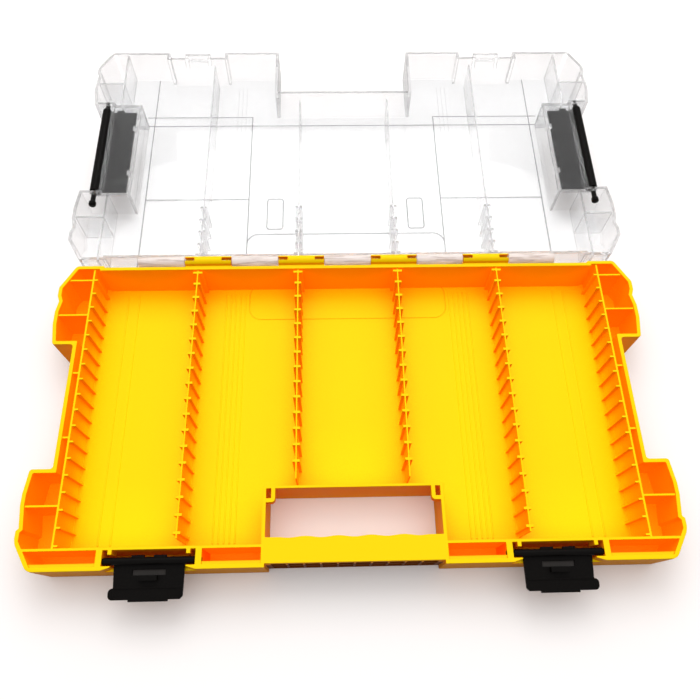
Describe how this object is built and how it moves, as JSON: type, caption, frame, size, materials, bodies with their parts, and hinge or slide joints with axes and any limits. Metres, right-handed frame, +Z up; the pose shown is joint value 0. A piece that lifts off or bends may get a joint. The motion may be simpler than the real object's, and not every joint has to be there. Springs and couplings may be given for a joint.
{
  "type": "saw blade storage case",
  "caption": "Flat storage case for saw blades: open tray with long finned bays and a front grip, clear hinged lid, front latches and side latches.",
  "frame": {"origin": "centre of the tray's flat underside", "axes": "+X to the right along the front, +Y to the back towards the hinge, +Z up; the lid lies open behind the tray"},
  "size_m": [0.362, 0.3911, 0.0302],
  "materials": {
    "yellow_plastic": "moulded, satin gloss",
    "clear_plastic": "clear moulded, polished",
    "black_plastic": "moulded, fine texture"
  },
  "bodies": {
    "tray": {"base_tray": "yellow_plastic", "handle_grip": "yellow_plastic", "divider_rail_outer_left": "yellow_plastic", "divider_rail_inner_left": "yellow_plastic", "divider_rail_inner_right": "yellow_plastic", "divider_rail_outer_right": "yellow_plastic", "side_rack_left": "yellow_plastic", "side_rack_right": "yellow_plastic", "front_frame_left": "yellow_plastic", "front_frame_right": "yellow_plastic", "tray_hinge_knuckles": "yellow_plastic"},
    "lid": {"lid_shell": "clear_plastic", "lid_hinge_knuckles": "clear_plastic", "lid_rail_outer_left": "clear_plastic", "lid_rail_inner_left": "clear_plastic", "lid_rail_inner_right": "clear_plastic", "lid_rail_outer_right": "clear_plastic", "lid_catch_left": "clear_plastic", "lid_catch_right": "clear_plastic"},
    "front_latch_left": {"front_latch_left": "black_plastic"},
    "front_latch_right": {"front_latch_right": "black_plastic"},
    "side_latch_left": {"side_latch_left": "black_plastic", "side_latch_pin_left": "black_plastic"},
    "side_latch_right": {"side_latch_right": "black_plastic", "side_latch_pin_right": "black_plastic"}
  },
  "joints": [
    {"name": "lid_hinge", "type": "hinge", "parent": "tray", "child": "lid", "pos_m": [0, 0.09625, 0.027], "axis": [1, 0, 0], "range_deg": [0, 180]},
    {"name": "front_latch_left_pivot", "type": "hinge", "parent": "tray", "child": "front_latch_left", "pos_m": [-0.109, -0.08875, 0.0246], "axis": [-1, 0, 0], "range_deg": [0, 98]},
    {"name": "front_latch_right_pivot", "type": "hinge", "parent": "tray", "child": "front_latch_right", "pos_m": [0.109, -0.08875, 0.0246], "axis": [-1, 0, 0], "range_deg": [0, 98]},
    {"name": "side_latch_left_pivot", "type": "hinge", "parent": "lid", "child": "side_latch_left", "pos_m": [-0.1705, 0.19625, 0.0232], "axis": [0, 1, 0], "range_deg": [0, 180]},
    {"name": "side_latch_right_pivot", "type": "hinge", "parent": "lid", "child": "side_latch_right", "pos_m": [0.1705, 0.19625, 0.0232], "axis": [0, -1, 0], "range_deg": [0, 180]}
  ]
}
